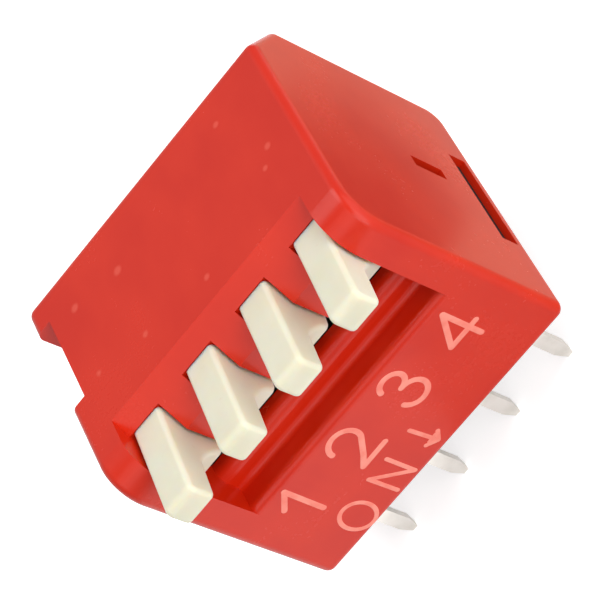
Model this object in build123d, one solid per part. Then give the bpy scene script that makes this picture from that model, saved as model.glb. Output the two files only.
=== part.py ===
"""Four-way through-hole switch with piano keys on its front face.

Frame: the origin is the centre of the two pin rows, in the plane where the housing sits on a board.
X runs along the row of ways from way 1 to the last, the keys point along -Y, and +Z is up.
Every key is drawn raised (off). It turns about X and its tip goes down when it is pressed (on).
"""
import os
from math import cos, radians, sin, tan
from build123d import *

# Ways and pins, in millimetres
ways = 4
pitch = 2.54
row_spacing = 7.62
pin_width = 0.5
pin_thickness = 0.25
pin_length = 2.8
pin_taper = 0.15
pin_tip_length = 0.5

# Housing
front_margin = 1.44
body_depth = 9.9
body_height = 9.0
cheek = 1.19
end_wall = 0.75
rear_wall = 0.5
front_wall = 0.95
top_wall = 0.8
back_bevel_run = 1.65
back_bevel_drop = 1.65
bevel_wall = 0.7
bevel_round = 0.3
cheek_round = 1.3
back_foot_round = 0.75
front_foot_round = 0.2
end_edge_round = 0.3

# Recess behind the cheeks, the ledge under it and the window that the keys come through
ledge_height = 4.3
ledge_depth = 1.05
ledge_floor = 0.85
sill_round = 0.3
ledge_corner_round = 0.22
lip_height = 0.9
window_height = 1.1
lip_round = 0.4
upper_wall_depth = 0.85
slant = 1.3

# Pocket, latch windows and slots in the end walls
notch_offset = 0.3
notch_width = 3.5
notch_depth = 0.7
notch_height = 1.5
notch_wall = 0.5
notch_surround = 0.5
latch_offset = -0.3
latch_width = 4.2
latch_height = 0.7
latch_bottom = 0.45
slot_offset = 0.1
slot_width = 0.5
slot_bottom = 2.3
slot_height = 1.35

# Keys
key_width = 1.2
slot_clear = 0.09
back_clear = 0.04
finger_reach = 2.05
finger_length = 3.7
finger_sink = 0.55
finger_slope = 5.0
tip_height = 1.0
underside_length = 1.65
underside_slope = 8.0
finger_round = 0.15
tip_round = 0.25
heel_length = 0.75
heel_sagitta = 0.1
web_depth = 1.1
travel = 13.0
stop_gap = 0.07
pivot_height = 5.0
hub_radius = 1.2
root_reach = 0.72
trunnion_radius = 0.5
trunnion_length = 0.45
running_gap = 0.04
leg_radius = 2.6
leg_front = 0.95
leg_rear = 0.4
click_radius = 0.22
click_depth = 0.12

# Base
base_gap = 0.05
base_recess = 0.1
floor_height = 1.5
side_gap = 0.12
partition_height = 5.0
post_half_depth = 1.05
post_rise = 1.3
throat_width = 0.8
pocket_front_wall = 0.65
pocket_rear_wall = 0.4
latch_stand = 0.58
latch_gap = 0.04

# Terminals, moving contacts and detent springs
strip_bottom = 0.85
strip_width = 0.5
lane_gap = 0.26
shoulder_depth = 0.6
tab_rise = 2.1
contact_gap = 0.03
contact_thickness = 0.12
contact_width = 1.0
barb_width = 0.6
barb_length = 0.4
barb_drop = 1.35
contact_stand = 0.22
toe_drop = 2.25
toe_tail = 0.3
spring_thickness = 0.15
spring_width = 0.8
spring_half_span = 1.1
spring_foot = 0.8
click_gap = 0.03

# How far a cutting shape runs past the face it cuts
overcut = 1.0

# Worked out from the sizes above
pin_row = row_spacing / 2
front = -pin_row - front_margin
rear = front + body_depth
recess_half = (ways - 1) * pitch / 2 + key_width / 2 + slot_clear
half_length = recess_half + cheek
cavity_half = half_length - end_wall
lip_top = ledge_height + lip_height
window_top = lip_top + window_height
lip_face = front + ledge_depth
wall_face = front + upper_wall_depth
tip = front - finger_reach
finger_back = tip + finger_length
wall_inside = finger_back + back_clear
cavity_front = front + front_wall
cavity_rear = rear - rear_wall
finger_top = body_height - finger_sink
way_x = [(i - (ways - 1) / 2) * pitch for i in range(ways)]
base_front = cavity_front + base_gap
base_rear = cavity_rear - base_gap
base_half = cavity_half - base_gap
partition_front = wall_inside + base_gap
ledge_underside = ledge_height - ledge_floor


def turn(y, z, angle):
    """A point of the side view, turned about the pivot. A positive angle presses the key."""
    a = radians(angle)
    dy, dz = y, z - pivot_height
    return dy * cos(a) - dz * sin(a), pivot_height + dy * sin(a) + dz * cos(a)


def slab(points, half_width):
    """A side-view outline, drawn out to both sides of the middle plane."""
    with BuildPart() as part:
        with BuildSketch(Plane.YZ):
            with BuildLine():
                Polyline(*points, close=True)
            make_face()
        extrude(amount=half_width, both=True)
    return part.part


def block(x0, x1, y0, y1, z0, z1):
    """A box between two corners."""
    centre = Location(((x0 + x1) / 2, (y0 + y1) / 2, (z0 + z1) / 2))
    return centre * Box(x1 - x0, y1 - y0, z1 - z0)


def envelope():
    """Outside of the whole body: bevelled top rear edge, rounded front top edge and rounded foot."""
    with BuildPart() as part:
        with BuildSketch(Plane.YZ) as side:
            with BuildLine():
                Polyline(
                    (front, 0),
                    (rear, 0),
                    (rear, body_height - back_bevel_drop),
                    (rear - back_bevel_run, body_height),
                    (front, body_height),
                    close=True,
                )
            make_face()
            for y, z, radius in (
                (front, body_height, cheek_round),
                (rear, 0, back_foot_round),
                (front, 0, front_foot_round),
                (rear, body_height - back_bevel_drop, bevel_round),
                (rear - back_bevel_run, body_height, bevel_round),
            ):
                fillet(side.vertices().sort_by_distance((y, z, 0))[0], radius)
        extrude(amount=half_length, both=True)
        ends = part.faces().sort_by(Axis.X)
        fillet(ends[0].edges() + ends[-1].edges(), end_edge_round)
    return part.part


def cavity():
    """Inside of the housing: deep at the front foot, set back behind the lip, bevelled like the outside."""
    roof = body_height - top_wall
    bevel_length = (back_bevel_run**2 + back_bevel_drop**2) ** 0.5
    inset = bevel_wall * bevel_length / back_bevel_drop
    slope = back_bevel_drop / back_bevel_run
    roof_end = rear - back_bevel_run - inset + (body_height - roof) / slope
    bevel_foot = body_height - (cavity_rear - (rear - back_bevel_run - inset)) * slope
    outline = [
        (cavity_front, -overcut),
        (cavity_rear, -overcut),
        (cavity_rear, bevel_foot),
        (roof_end, roof),
        (wall_inside, roof),
        (wall_inside, ledge_underside),
        (cavity_front, ledge_underside),
    ]
    return slab(outline, cavity_half)


def recess():
    """Space between the cheeks: slanted top, upper wall, window, lip and ledge in one outline."""
    slant_start = wall_face + slant
    outline = [
        (slant_start, body_height + overcut),
        (slant_start, body_height),
        (wall_face, body_height - slant),
        (wall_face, window_top),
        (wall_inside + base_gap, window_top),
        (wall_inside + base_gap, lip_top),
        (lip_face, lip_top),
        (lip_face, ledge_height),
        (front - overcut, ledge_height),
        (front - overcut, body_height + overcut),
    ]
    return slab(outline, recess_half)


def key_slots():
    """One upright slot for each key, from the window up through the slanted face."""
    half = key_width / 2 + slot_clear
    top = finger_top + back_clear
    return [block(x - half, x + half, front, wall_inside, lip_top, top) for x in way_x]


def end_openings(grow=0.0):
    """Latch window and upright slot in both end walls. A negative grow gives what the base puts in them."""
    cuts = []
    for side in (-1, 1):
        x0, x1 = sorted((side * (base_half - base_gap), side * (half_length + overcut)))
        if grow < 0:
            x0, x1 = sorted((side * (base_half - base_gap), side * (base_half + latch_stand)))
        half = latch_width / 2 + grow
        low, high = latch_bottom - grow, latch_bottom + latch_height + grow
        cuts.append(block(x0, x1, latch_offset - half, latch_offset + half, low, high))
        half = slot_width / 2 + grow
        low, high = slot_bottom - grow, slot_bottom + slot_height + grow
        cuts.append(block(x0, x1, slot_offset - half, slot_offset + half, low, high))
    return cuts


def housing():
    """Moulded cover: five walls, open at the foot, with the stepped and slotted front."""
    shell = envelope() - cavity()
    pad = block(
        -half_length + end_edge_round,
        -half_length + notch_depth + notch_wall,
        notch_offset - notch_width / 2 - notch_surround,
        notch_offset + notch_width / 2 + notch_surround,
        body_height - notch_height - notch_surround,
        body_height - top_wall,
    )
    notch = block(
        -half_length - overcut,
        -half_length + notch_depth,
        notch_offset - notch_width / 2,
        notch_offset + notch_width / 2,
        body_height - notch_height,
        body_height + overcut,
    )
    shell = shell + pad - notch - recess()
    for cut in key_slots() + end_openings():
        shell -= cut
    for y, z, radius in (
        (front, ledge_height, sill_round),
        (lip_face, ledge_height, ledge_corner_round),
        (lip_face, lip_top, lip_round),
    ):
        across = shell.edges().filter_by(Axis.X)
        shell = fillet(across.sort_by_distance((0, y, z))[0], radius)
    return shell


def key_outline():
    """Side view of a key without its leg: finger, web, arm and hub."""
    rise = tan(radians(finger_slope))
    back = (finger_back, finger_top)
    tip_top = (tip, finger_top + finger_length * rise)
    tip_foot = (tip, tip_top[1] - tip_height)
    knee = (tip + underside_length, tip_foot[1] - underside_length * tan(radians(underside_slope)))
    rest = lip_top + stop_gap
    heel = turn(lip_face - heel_length, rest, -travel)
    root = turn(-root_reach, rest, -travel)
    arm_top = finger_top - web_depth
    with BuildSketch(Plane.YZ) as side:
        with BuildLine():
            Line(back, tip_top)
            Line(tip_top, tip_foot)
            Line(tip_foot, knee)
            SagittaArc(knee, heel, heel_sagitta)
            Line(heel, root)
            Line(root, (0, pivot_height))
            Line((0, pivot_height), (0, pivot_height + hub_radius))
            Line((0, pivot_height + hub_radius), (finger_back, arm_top))
            Line((finger_back, arm_top), back)
        make_face()
        with Locations((0, pivot_height)):
            Circle(hub_radius)
    return side.sketch


def key_leg():
    """Side view of the leg under the hub, with the two click grooves in its round end."""
    with BuildSketch(Plane.YZ) as side:
        with Locations((0, pivot_height)):
            Circle(leg_radius)
        middle = (leg_rear - leg_front) / 2
        with Locations((middle, pivot_height - leg_radius / 2)):
            Rectangle(leg_rear + leg_front, leg_radius, mode=Mode.INTERSECT)
        reach = leg_radius + click_radius - click_depth
        for angle in (0, -travel):
            with Locations(turn(0, pivot_height - reach, angle)):
                Circle(click_radius, mode=Mode.SUBTRACT)
    return side.sketch


def key(x):
    """One moulded key with its two trunnions, and the slot that the contact's barb is pressed into."""
    body = extrude(key_outline(), key_width / 2, both=True) + extrude(key_leg(), key_width / 2, both=True)
    tip_edges = body.edges().filter_by(Axis.X).filter_by(lambda e: e.center().Y < tip + finger_round)
    body = fillet(tip_edges, tip_round)
    on_side = key_width / 2 - finger_round
    finger_edges = body.edges().filter_by(
        lambda e: abs(e.center().X) > on_side and e.bounding_box().min.Y < front
    )
    body = fillet(finger_edges, finger_round)
    trunnions = Location((0, 0, pivot_height)) * Cylinder(
        trunnion_radius, key_width + 2 * trunnion_length, rotation=(0, 90, 0)
    )
    return Location((x, 0, 0)) * (body + trunnions - barb())


def barb():
    """Tongue of the moving contact that goes into the key's leg."""
    z = pivot_height - barb_drop
    half = barb_width / 2
    return block(-half, half, leg_rear - barb_length, leg_rear, z, z + contact_thickness)


def moving_contact(x):
    """Leaf on the back of a key's leg: barb, flat root and bowed toe that bridges the two tabs."""
    centre = leg_rear + contact_thickness / 2
    top = pivot_height - barb_drop + contact_thickness
    toe = (centre + contact_stand, pivot_height - toe_drop)
    with BuildSketch(Plane.YZ) as side:
        with BuildLine() as path:
            Polyline(
                (centre, top),
                (centre, top - barb_length),
                toe,
                (centre + contact_thickness, toe[1] - toe_tail),
            )
        trace(path.line, line_width=contact_thickness)
    leaf = extrude(side.sketch, contact_width / 2, both=True)
    return Location((x, 0, 0)) * (leaf + barb())


def tab_face():
    """Place of the fixed tabs' front faces: just clear of the toe when the key is pressed."""
    reach = leg_rear + contact_thickness + contact_stand
    return turn(reach, pivot_height - toe_drop, travel)[0] + contact_gap


def terminal(x, side):
    """Stamped terminal: tapered pin, shoulder, strip in the floor and upright tab. Side -1 is the front row."""
    lane = sorted((side * lane_gap / 2, side * (lane_gap / 2 + strip_width)))
    pin_y = side * pin_row
    outer = pin_y + side * pin_thickness / 2
    tab_y = tab_face()
    far = tab_y + pin_thickness if side < 0 else tab_y
    y0, y1 = sorted((outer, far))
    top = strip_bottom + pin_thickness
    strip = block(lane[0], lane[1], y0, y1, strip_bottom, top)
    s0, s1 = sorted((outer, pin_y - side * shoulder_depth))
    shoulder_x = sorted((lane[0], lane[1], -pin_width / 2, pin_width / 2))
    shoulder = block(shoulder_x[0], shoulder_x[-1], s0, s1, strip_bottom, top)
    tab = block(lane[0], lane[1], tab_y, tab_y + pin_thickness, strip_bottom, floor_height + tab_rise)
    p0, p1 = sorted((outer, pin_y - side * pin_thickness / 2))
    pin = block(-pin_width / 2, pin_width / 2, p0, p1, -pin_length, top)
    tip_edges = pin.faces().sort_by(Axis.Z)[0].edges().filter_by(Axis.Y)
    pin = chamfer(tip_edges, pin_tip_length, pin_taper)
    return Location((x, 0, 0)) * (strip + shoulder + tab + pin)


def detent_spring(x):
    """Bowed click spring on the base floor: flat front foot and an arch up to the key's leg."""
    low = floor_height + spring_thickness / 2
    top = pivot_height - leg_radius - click_gap - spring_thickness / 2
    with BuildSketch(Plane.YZ) as side:
        with BuildLine() as path:
            Line((-spring_half_span - spring_foot, low), (-spring_half_span, low))
            ThreePointArc((-spring_half_span, low), (0, top), (spring_half_span, low))
        trace(path.line, line_width=spring_thickness)
    return Location((x, 0, 0)) * extrude(side.sketch, spring_width / 2, both=True)


def base():
    """Black insert: floor round the terminals, partitions with snap-in bearings, and the end latches."""
    outline = [
        (base_front, base_recess),
        (base_rear, base_recess),
        (base_rear, partition_height),
        (post_half_depth, partition_height),
        (post_half_depth, pivot_height + post_rise),
        (-post_half_depth, pivot_height + post_rise),
        (-post_half_depth, partition_height),
        (partition_front, partition_height),
        (partition_front, ledge_underside - base_gap),
        (base_front, ledge_underside - base_gap),
    ]
    body = slab(outline, base_half)
    half = key_width / 2 + side_gap
    top = pivot_height + post_rise
    for x in way_x:
        y0, y1 = base_front + pocket_front_wall, base_rear - pocket_rear_wall
        body -= block(x - half, x + half, y0, y1, floor_height, top + overcut)
        body -= block(x - half, x + half, base_front - overcut, y1, ledge_underside, top + overcut)
    bore = Cylinder(trunnion_radius + running_gap, 2 * base_half + overcut, rotation=(0, 90, 0))
    body -= Location((0, 0, pivot_height)) * bore
    throat = throat_width / 2
    body -= block(-base_half - overcut, base_half + overcut, -throat, throat, pivot_height, top + overcut)
    for bar in end_openings(-latch_gap):
        body += bar
    body = body & envelope()
    for x in way_x:
        for side in (-1, 1):
            body -= terminal(x, side)
    return body


def build():
    """All pieces by name."""
    pieces = {"housing": housing(), "base": base()}
    for i, x in enumerate(way_x, start=1):
        pieces[f"key_{i}"] = key(x)
        pieces[f"moving_contact_{i}"] = moving_contact(x)
        pieces[f"detent_spring_{i}"] = detent_spring(x)
        pieces[f"front_terminal_{i}"] = terminal(x, -1)
        pieces[f"rear_terminal_{i}"] = terminal(x, 1)
    return pieces


os.makedirs("parts", exist_ok=True)
for name, shape in build().items():
    export_step(shape, f"parts/{name}.step")
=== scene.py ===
"""Looks of the four-way piano-key switch: plastics, printed marks, metal parts, floor, light and camera."""
from math import cos, hypot, pi, radians, sin

import bpy
from mathutils import Matrix, Vector


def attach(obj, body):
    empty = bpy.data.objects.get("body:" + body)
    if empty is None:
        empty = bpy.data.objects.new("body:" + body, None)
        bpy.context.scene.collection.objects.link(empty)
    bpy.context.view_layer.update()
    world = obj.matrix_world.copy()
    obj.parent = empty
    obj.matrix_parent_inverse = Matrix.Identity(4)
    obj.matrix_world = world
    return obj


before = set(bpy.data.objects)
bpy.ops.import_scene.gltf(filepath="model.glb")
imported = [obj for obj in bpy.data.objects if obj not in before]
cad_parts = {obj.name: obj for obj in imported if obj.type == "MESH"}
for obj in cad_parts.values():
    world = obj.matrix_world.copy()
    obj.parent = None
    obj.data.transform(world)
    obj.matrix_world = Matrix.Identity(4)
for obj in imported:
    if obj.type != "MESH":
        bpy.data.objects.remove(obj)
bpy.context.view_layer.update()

mm = 0.001
ways = 4

# Planes of the switch, in millimetres: front face, pin tips and top
front_plane = -5.25
pin_tips = -2.8
top_plane = 9.0

# Printed strokes, in millimetres, and how finely each one is made
digit_stroke = 0.2
letter_stroke = 0.155
ink_height = 0.012
stroke_points = 7
round_end_steps = 5
round_end_point = 0.02
degrees_a_step = 9

# Strength of the room's light on the object, and of the floor's own white
room_light = 0.4
floor_shade = 0.78
floor_lift = 0.62


class Wire:
    """A value on its way through a material. Arithmetic on wires adds the maths nodes."""

    def __init__(self, paint, socket):
        self.paint = paint
        self.socket = socket

    def maths(self, operation, *values):
        made = self.paint.node("Math", {"operation": operation}, dict(enumerate(values)))
        return Wire(self.paint, made.outputs[0])

    def __add__(self, other):
        return self.maths("ADD", self, other)

    def __sub__(self, other):
        return self.maths("SUBTRACT", self, other)

    def __mul__(self, other):
        return self.maths("MULTIPLY", self, other)

    def __truediv__(self, other):
        return self.maths("DIVIDE", self, other)

    def __rsub__(self, other):
        return self.maths("SUBTRACT", other, self)

    __radd__ = __add__
    __rmul__ = __mul__

    def ramp(self, low, high):
        """0 below low, 1 above high and smooth between them."""
        settings = {"interpolation_type": "SMOOTHSTEP"}
        made = self.paint.node("MapRange", settings, {"Value": self, "From Min": low, "From Max": high})
        return Wire(self.paint, made.outputs[0])


class Paint:
    """One material, or the world, being built."""

    def __init__(self, name, shelf=bpy.data.materials, output="OutputMaterial"):
        self.made = shelf.new(name)
        self.made.use_nodes = True
        self.tree = self.made.node_tree
        self.tree.nodes.clear()
        self.output = self.node(output)
        self.place = self.node("TexCoord").outputs["Object"]

    def node(self, kind, settings=None, values=None):
        made = self.tree.nodes.new("ShaderNode" + kind)
        for key, value in (settings or {}).items():
            setattr(made, key, value)
        for key, value in (values or {}).items():
            self.feed(made.inputs[key], value)
        return made

    def feed(self, socket, value):
        if isinstance(value, Wire):
            value = value.socket
        if isinstance(value, bpy.types.NodeSocket):
            self.tree.links.new(value, socket)
        else:
            socket.default_value = value

    def noise(self, per_mm, detail=2.0, stretch=(1, 1, 1)):
        """Noise between 0 and 1 with this many blotches to a millimetre."""
        scale = tuple(per_mm * s / mm for s in stretch)
        moved = self.node("Mapping", None, {"Vector": self.place, "Scale": scale})
        made = self.node("TexNoise", None, {"Vector": moved.outputs[0], "Scale": 1.0, "Detail": detail})
        return Wire(self, made.outputs[0])

    def mix(self, factor, first, second):
        settings = {"data_type": "RGBA"}
        made = self.node("Mix", settings, {"Factor": factor, 6: first, 7: second})
        return made.outputs[2]

    def bump(self, height, depth_mm):
        values = {"Height": height, "Strength": 1.0, "Distance": depth_mm * mm}
        return self.node("Bump", None, values).outputs[0]

    def spots(self, places, height, radius):
        """Small soft marks round these points of a level face, in millimetres, each with its own size."""
        total = 0.0
        for x, y, size in places:
            centre = (x * mm, y * mm, height * mm)
            gap = self.node("VectorMath", {"operation": "DISTANCE"}, {0: self.place, 1: centre})
            share = Wire(self, gap.outputs["Value"]) / (radius * size * mm)
            total = 1 - share.ramp(0.35, 1.0) + total
        return total

    def seen(self):
        """1 where the camera looks and half where gloss or glass does, so that both meet a white room."""
        path = self.node("LightPath").outputs
        through = Wire(self, path["Is Glossy Ray"]) + path["Is Transmission Ray"]
        return through * 0.5 + path["Is Camera Ray"]

    def end(self, shader):
        self.tree.links.new(shader.outputs[0], self.output.inputs["Surface"])
        return self.made

    def surface(self, **values):
        """The plain plastic or metal surface that ends the material."""
        named = {k.replace("_", " ").title().replace("Ior", "IOR"): v for k, v in values.items()}
        return self.end(self.node("BsdfPrincipled", None, named))


def rgb(r, g, b):
    return (r, g, b, 1.0)


def red_plastic():
    """Glossy moulded red plastic: faint flow marks, fine ripple and a few pale specks in the top."""
    paint = Paint("moulded_red")
    cloud = paint.noise(0.35, 3.0, (1.0, 0.6, 1.0))
    grain = paint.noise(6.0, 2.0)
    places = [
        (4.42, -0.65, 1.0),
        (4.0, -1.2, 0.8),
        (0.6, -2.28, 0.9),
        (-2.13, -1.8, 0.9),
        (-2.0, 1.05, 1.3),
        (-3.95, 1.5, 1.2),
        (3.3, 1.8, 0.9),
        (-4.18, -1.3, 0.8),
    ]
    specks = paint.spots(places, top_plane, 0.17)
    deep, fresh = rgb(0.58, 0.015, 0.002), rgb(0.64, 0.022, 0.004)
    colour = paint.mix(cloud.ramp(0.3, 0.7), deep, fresh)
    colour = paint.mix(specks * 0.35, colour, rgb(0.85, 0.15, 0.10))
    rough = 0.2 + cloud * 0.08 + grain * 0.04
    height = paint.noise(0.8, 2.0) + specks * 0.05
    return paint.surface(
        base_color=colour,
        roughness=rough,
        specular_ior_level=0.32,
        normal=paint.bump(height, 0.006),
    )


def black_plastic():
    paint = Paint("moulded_black")
    grain = paint.noise(5.0, 3.0)
    colour = paint.mix(grain, rgb(0.008, 0.008, 0.009), rgb(0.018, 0.018, 0.018))
    return paint.surface(
        base_color=colour,
        roughness=0.55 + grain * 0.15,
        specular_ior_level=0.25,
        normal=paint.bump(grain, 0.004),
    )


def cream_plastic():
    """Slightly waxy cream plastic of the keys."""
    paint = Paint("moulded_cream")
    cloud = paint.noise(0.6, 3.0)
    grain = paint.noise(5.0, 2.0)
    colour = paint.mix(cloud.ramp(0.3, 0.7), rgb(0.72, 0.70, 0.545), rgb(0.75, 0.735, 0.595))
    colour = paint.mix(grain.ramp(0.68, 0.8) * 0.3, colour, rgb(0.70, 0.60, 0.44))
    return paint.surface(
        base_color=colour,
        roughness=0.5 + grain * 0.1,
        specular_ior_level=0.35,
        subsurface_weight=0.9,
        subsurface_scale=0.6 * mm,
        subsurface_radius=(1.0, 0.7, 0.45),
        normal=paint.bump(cloud * 0.8 + grain * 0.1, 0.01),
    )


def metal(name, light, dark, roughness, streaks, metallic=1.0):
    """Bare or plated metal with fine rolling lines along Z and a little tarnish."""
    paint = Paint(name)
    lines = paint.noise(streaks, 2.0, (1.0, 1.0, 0.06))
    stain = paint.noise(1.3, 3.0)
    colour = paint.mix(stain.ramp(0.35, 0.75), light, dark)
    return paint.surface(
        base_color=colour,
        metallic=metallic,
        roughness=roughness + lines * 0.12 + stain * 0.1,
        normal=paint.bump(lines, 0.002),
    )


def ink():
    """Pale pink marking ink, a little uneven where the red shows through."""
    paint = Paint("marking_ink")
    thin = paint.noise(2.2, 3.0)
    colour = paint.mix(thin.ramp(0.35, 0.75), rgb(0.92, 0.28, 0.21), rgb(0.86, 0.18, 0.13))
    return paint.surface(base_color=colour, roughness=0.45 + thin * 0.15)


def floor_white():
    """White floor: seen straight it is white, and it still takes the object's shadow."""
    paint = Paint("studio_floor")
    plain = paint.node("BsdfDiffuse", None, {"Color": rgb(floor_shade, floor_shade, floor_shade)})
    lift = paint.node("Emission", None, {"Color": rgb(1, 1, 1), "Strength": paint.seen() * floor_lift})
    return paint.end(paint.node("AddShader", None, {0: plain.outputs[0], 1: lift.outputs[0]}))


def dress(material, *names):
    """Gives a CAD node this material."""
    for name in names:
        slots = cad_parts[name].data.materials
        slots.clear()
        slots.append(material)


def arc(centre, radius, start, end, squash=1.0):
    """Points of an arc on the front face, in degrees from +X towards +Z."""
    count = int(abs(end - start) / degrees_a_step)
    angles = [radians(start + (end - start) * i / count) for i in range(count + 1)]
    return [(centre[0] + radius * cos(a), centre[1] + radius * squash * sin(a)) for a in angles]


def ribbon(points, width, height):
    """Rings of a domed stroke with round ends along points (x, z), in millimetres."""
    radius = width / 2
    rings = []

    def ring(point, along, scale):
        across = (-along[1], along[0])
        row = []
        for i in range(stroke_points):
            angle = pi * i / (stroke_points - 1)
            offset = radius * scale * cos(angle)
            lift = height * scale * sin(angle)
            row.append((point[0] + across[0] * offset, front_plane - lift, point[1] + across[1] * offset))
        return row

    def heading(a, b):
        length = hypot(b[0] - a[0], b[1] - a[1])
        return ((b[0] - a[0]) / length, (b[1] - a[1]) / length)

    first = heading(points[0], points[1])
    last = heading(points[-2], points[-1])
    shares = [cos(pi / 2 * i / round_end_steps) for i in range(round_end_steps)]
    for share in shares:
        start = (points[0][0] - first[0] * radius * share, points[0][1] - first[1] * radius * share)
        rings.append(ring(start, first, max(round_end_point, (1 - share**2) ** 0.5)))
    for i, point in enumerate(points):
        before = points[max(0, i - 1)]
        after = points[min(len(points) - 1, i + 1)]
        rings.append(ring(point, heading(before, after), 1.0))
    for share in reversed(shares):
        end = (points[-1][0] + last[0] * radius * share, points[-1][1] + last[1] * radius * share)
        rings.append(ring(end, last, max(round_end_point, (1 - share**2) ** 0.5)))
    return rings


def mark(name, strokes, width, material):
    """One printed character, made of domed strokes on the front face."""
    points, faces = [], []
    for stroke in strokes:
        rings = ribbon(stroke, width, ink_height)
        across = len(rings[0])
        base = len(points)
        points += [tuple(c * mm for c in p) for row in rings for p in row]
        for i in range(len(rings) - 1):
            for j in range(across - 1):
                a = base + i * across + j
                faces.append((a, a + 1, a + across + 1, a + across))
    mesh = bpy.data.meshes.new(name)
    mesh.from_pydata(points, [], faces)
    mesh.shade_smooth()
    mesh.materials.append(material)
    made = bpy.data.objects.new(name, mesh)
    bpy.context.scene.collection.objects.link(made)
    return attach(made, "casing")


def marks():
    """The way numbers, the word ON and its arrow, each placed as on the front face."""
    material = ink()
    digits = {
        "digit_1": [[(-3.48, 3.87), (-3.51, 2.19)], [(-3.48, 3.86), (-4.08, 3.35)]],
        "digit_2": [
            arc((-1.22, 3.28), 0.53, 172, -32) + [(-1.33, 2.40), (-1.71, 2.07)],
            [(-1.71, 2.07), (-0.64, 2.09)],
        ],
        "digit_3": [
            arc((1.19, 3.42), 0.43, 165, -90, 0.88),
            arc((1.22, 2.57), 0.50, 90, -172, 0.93),
        ],
        "digit_4": [
            [(3.90, 3.74), (3.05, 2.59)],
            [(3.05, 2.59), (4.19, 2.59)],
            [(3.90, 3.74), (3.89, 2.07)],
        ],
    }
    for name, strokes in digits.items():
        mark(name, strokes, digit_stroke, material)
    small = {
        "letter_O": [arc((-3.36, 0.85), 0.53, 90, 450, 1.25)],
        "letter_N": [
            [(-2.03, 0.31), (-2.05, 1.55)],
            [(-2.05, 1.55), (-1.18, 0.31)],
            [(-1.18, 0.31), (-1.18, 1.55)],
        ],
        "arrow": [
            [(0.00, 1.62), (0.07, 0.48)],
            [(-0.26, 0.67), (0.07, 0.43)],
            [(0.35, 0.71), (0.07, 0.43)],
            [(-0.10, 0.66), (0.22, 0.67)],
        ],
    }
    for name, strokes in small.items():
        mark(name, strokes, letter_stroke, material)


def floor():
    """Flat floor at the pin tips, wide enough to fill every view from above."""
    half = 0.6
    corners = [(-half, -half), (half, -half), (half, half), (-half, half)]
    mesh = bpy.data.meshes.new("floor")
    mesh.from_pydata([(x, y, pin_tips * mm) for x, y in corners], [], [(0, 1, 2, 3)])
    mesh.materials.append(floor_white())
    made = bpy.data.objects.new("floor", mesh)
    bpy.context.scene.collection.objects.link(made)


def card(name, outline, height, glow, strength=1.0):
    """Flat level card seen only in gloss, where it paints a reflection. Its height is over the floor."""
    paint = Paint(name)
    mesh = bpy.data.meshes.new(name)
    corners = [(x * mm, y * mm, (pin_tips + height) * mm) for x, y in outline]
    mesh.from_pydata(corners, [], [tuple(range(len(corners)))])
    glowing = paint.surface(base_color=rgb(0, 0, 0), emission_color=glow, emission_strength=strength)
    mesh.materials.append(glowing)
    made = bpy.data.objects.new(name, mesh)
    bpy.context.scene.collection.objects.link(made)
    made.visible_camera = False
    made.visible_diffuse = False
    made.visible_shadow = False


def cards():
    """Cards seen only in gloss that paint reflections: a warm painted reflection and a painted shadow by
    the +X end, and painted highlights from bright ones before the front and high over it.
    """
    # Painted reflection: a warm glowing sheet seen only in gloss gives the +X end its warm haze.
    warm = [(6.5, -8), (30, -8), (30, 30), (6.5, 30)]
    card("warm_reflection_card", warm, 0.05, rgb(0.80, 0.60, 0.44))
    # Painted shadow: a dark sheet seen only in gloss darkens a patch of the +X end, as if the floor there
    # lay in shade.
    near_side = [(15.0, 5.0), (10.5, 2.0), (8.2, 3.5), (8.2, 7.0)]
    far_side = [(9.2, 11.0), (11.0, 14.5), (15.0, 16.0), (16.5, 11.0)]
    card("painted_shadow_card", near_side + far_side, 0.1, rgb(0.03, 0.03, 0.03))
    # Painted highlights: bright sheets seen only in gloss, high over the front and low before it, lighten
    # the reflections in the slanted face, the lip and the pins.
    over = [(-200, -350), (10, -350), (10, -80), (-200, -80)]
    card("front_highlight_card", over, 200, rgb(1, 0.97, 0.95), 1.8)
    before = [(-25, -40), (-1, -40), (-1, -5.6), (-25, -5.6)]
    card("low_highlight_card", before, 0.05, rgb(1, 0.98, 0.97), 1.6)


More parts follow.
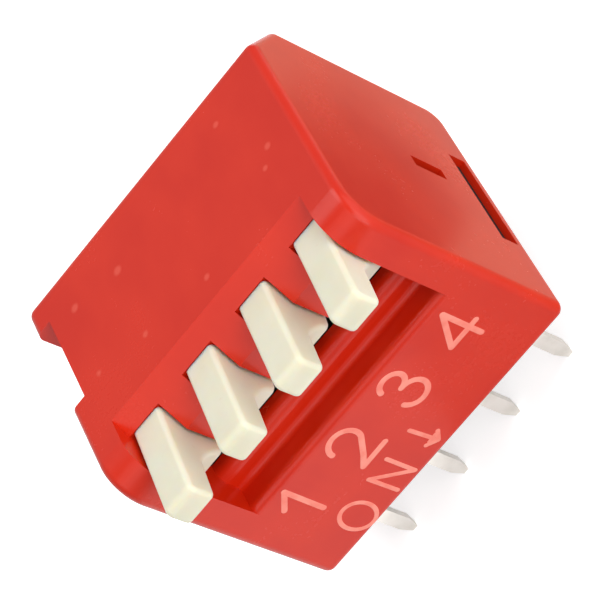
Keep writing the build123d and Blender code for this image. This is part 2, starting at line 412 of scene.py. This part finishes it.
def lamp(name, azimuth, elevation, distance, size, power):
    """Square soft lamp aimed at the switch. Azimuth 0 is in front of it and 90 at its +X end."""
    data = bpy.data.lights.new(name, "AREA")
    data.size = size
    data.energy = power
    made = bpy.data.objects.new(name, data)
    a, e = radians(azimuth), radians(elevation)
    place = Vector((sin(a) * cos(e), -cos(a) * cos(e), sin(e))) * distance
    made.location = place
    made.rotation_euler = (-place).to_track_quat("-Z", "Y").to_euler()
    bpy.context.scene.collection.objects.link(made)


def studio():
    """White room light with three soft lamps."""
    room = Paint("studio_room", bpy.data.worlds, "OutputWorld")
    strength = room_light + room.seen() * (1 - room_light)
    white = room.node("Background", None, {"Color": rgb(1, 1, 1), "Strength": strength})
    bpy.context.scene.world = room.end(white)
    lamp("rear_lamp", 175, 72, 0.25, 0.18, 0.3)
    lamp("end_lamp", 80, 22, 0.3, 0.3, 0.38)
    lamp("low_lamp", 25, 16, 0.3, 0.3, 0.66)
    bpy.context.scene.view_settings.view_transform = "Standard"


def camera():
    """Camera found from the corners of the body in the photo."""
    data = bpy.data.cameras.new("camera")
    data.lens = 189.7
    data.sensor_width = 36.0
    data.clip_start = 0.005
    made = bpy.data.objects.new("camera", data)
    right = Vector((0.6079, -0.3520, -0.7117)).normalized()
    back = Vector((0.3379, -0.6965, 0.6330)).normalized()
    up = back.cross(right).normalized()
    right = up.cross(back)
    turned = Matrix((right, up, back)).transposed().to_4x4()
    place = Vector((32.509, -67.03, 64.498)) * mm
    made.matrix_world = Matrix.Translation(place) @ turned
    bpy.context.scene.collection.objects.link(made)
    bpy.context.scene.camera = made


def numbered(stem):
    return [f"{stem}_{i}" for i in range(1, ways + 1)]


dress(red_plastic(), "housing")
dress(black_plastic(), "base")
dress(cream_plastic(), *numbered("key"))
tin = metal("tinned_pin", rgb(0.88, 0.86, 0.81), rgb(0.74, 0.72, 0.66), 0.34, 9.0, 0.8)
dress(tin, *numbered("front_terminal"), *numbered("rear_terminal"))
gold = metal("gold_contact", rgb(0.92, 0.68, 0.30), rgb(0.80, 0.55, 0.22), 0.2, 12.0)
dress(gold, *numbered("moving_contact"))
bronze = metal("spring_bronze", rgb(0.70, 0.45, 0.24), rgb(0.52, 0.32, 0.17), 0.28, 12.0)
dress(bronze, *numbered("detent_spring"))
marks()
floor()
cards()
studio()
camera()
